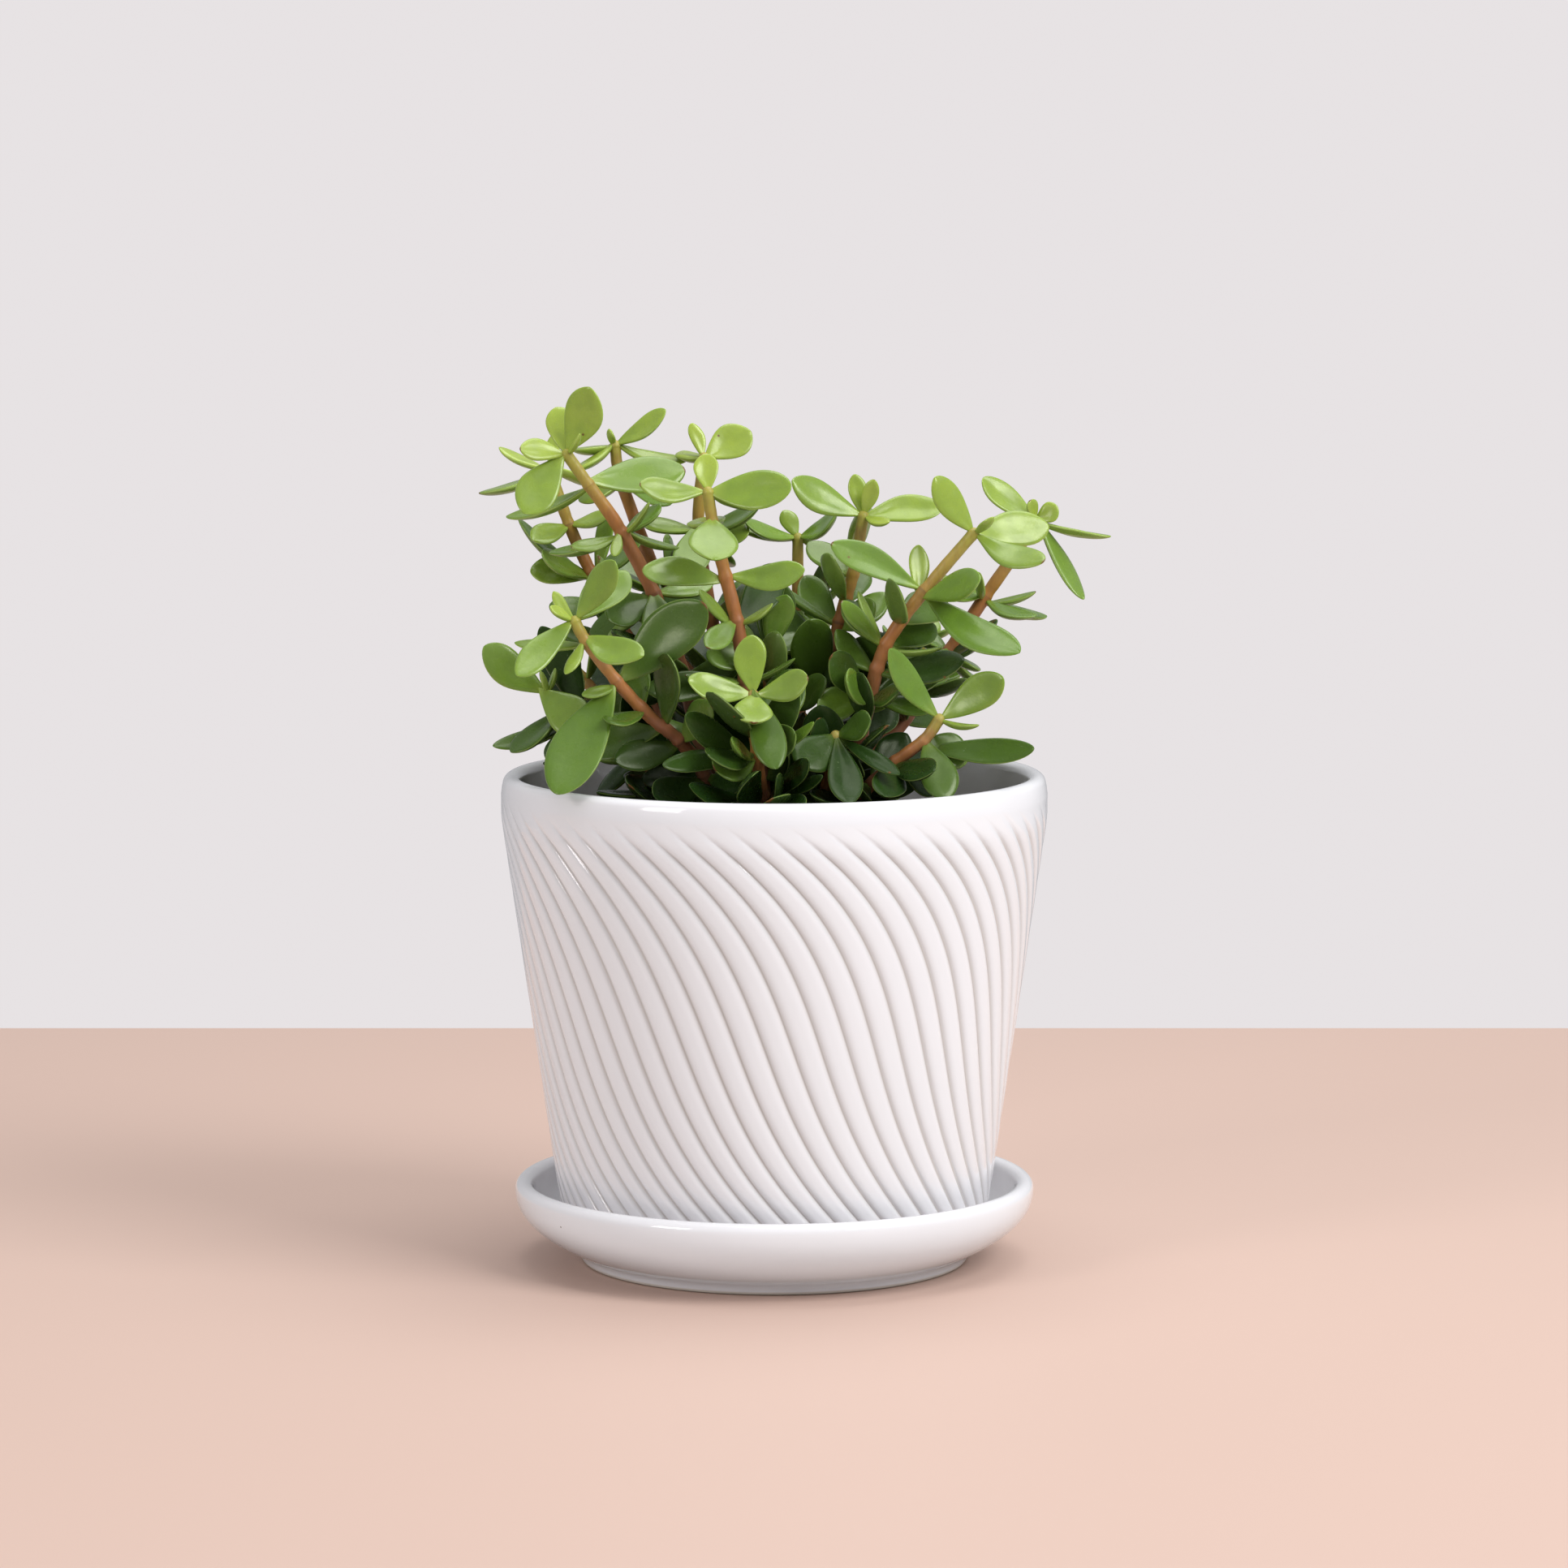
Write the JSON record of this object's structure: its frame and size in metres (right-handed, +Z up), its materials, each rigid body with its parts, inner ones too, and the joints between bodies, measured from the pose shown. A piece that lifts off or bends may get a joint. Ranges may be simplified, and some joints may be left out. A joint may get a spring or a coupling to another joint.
{
  "type": "potted jade plant",
  "caption": "Jade plant with thick oval leaves on branching stems, in a tapered round pot with a slanted fluted wall, standing on a round saucer.",
  "frame": {"origin": "on the pot's axis, at the flat underside of the saucer", "axes": "+Z up along the pot's axis, -Y is the front, +X is to the right seen from the front"},
  "size_m": [0.148, 0.127, 0.2045],
  "materials": {
    "white_glaze": "glossy",
    "jade_leaf": "waxy, satin",
    "green_bark": "smooth young bark",
    "potting_soil": "matte, granular"
  },
  "bodies": {
    "root": {"leaves_back_inner_1": "jade_leaf", "leaves_back_inner_2": "jade_leaf", "leaves_back_left_1": "jade_leaf", "leaves_back_left_2": "jade_leaf", "leaves_back_left_tall_1": "jade_leaf", "leaves_back_left_tall_2": "jade_leaf", "leaves_back_middle_tall_1": "jade_leaf", "leaves_back_middle_tall_2": "jade_leaf", "leaves_back_right_tall_1": "jade_leaf", "leaves_back_right_tall_2": "jade_leaf", "leaves_back_right_tall_3": "jade_leaf", "leaves_far_left_1": "jade_leaf", "leaves_far_left_2": "jade_leaf", "leaves_far_left_3": "jade_leaf", "leaves_front_low_1": "jade_leaf", "leaves_left_low_1": "jade_leaf", "leaves_left_low_2": "jade_leaf", "leaves_left_low_3": "jade_leaf", "leaves_left_side_1": "jade_leaf", "leaves_left_side_2": "jade_leaf", "leaves_left_side_3": "jade_leaf", "leaves_left_tall_1": "jade_leaf", "leaves_left_tall_2": "jade_leaf", "leaves_left_tall_3": "jade_leaf", "leaves_left_tall_4": "jade_leaf", "leaves_middle_inner_1": "jade_leaf", "leaves_middle_low_1": "jade_leaf", "leaves_middle_low_2": "jade_leaf", "leaves_middle_low_3": "jade_leaf", "leaves_middle_tall_1": "jade_leaf", "leaves_middle_tall_2": "jade_leaf", "leaves_middle_tall_3": "jade_leaf", "leaves_middle_tall_4": "jade_leaf", "leaves_middle_tall_5": "jade_leaf", "leaves_rear_left_1": "jade_leaf", "leaves_rear_left_2": "jade_leaf", "leaves_rear_left_3": "jade_leaf", "leaves_rear_middle_1": "jade_leaf", "leaves_rear_middle_2": "jade_leaf", "leaves_rear_middle_3": "jade_leaf", "leaves_rear_right_1": "jade_leaf", "leaves_rear_right_2": "jade_leaf", "leaves_rear_right_3": "jade_leaf", "leaves_right_inner_1": "jade_leaf", "leaves_right_inner_2": "jade_leaf", "leaves_right_inner_3": "jade_leaf", "leaves_right_low_1": "jade_leaf", "leaves_right_low_2": "jade_leaf", "leaves_right_tall_1": "jade_leaf", "leaves_right_tall_2": "jade_leaf", "leaves_right_tall_3": "jade_leaf", "leaves_right_tall_4": "jade_leaf", "pot": "white_glaze", "saucer": "white_glaze", "soil": "potting_soil", "stem_left_back": "green_bark", "stem_left_front": "green_bark", "stem_middle_front": "green_bark", "stem_right_back": "green_bark", "stem_right_front": "green_bark"}
  },
  "joints": []
}
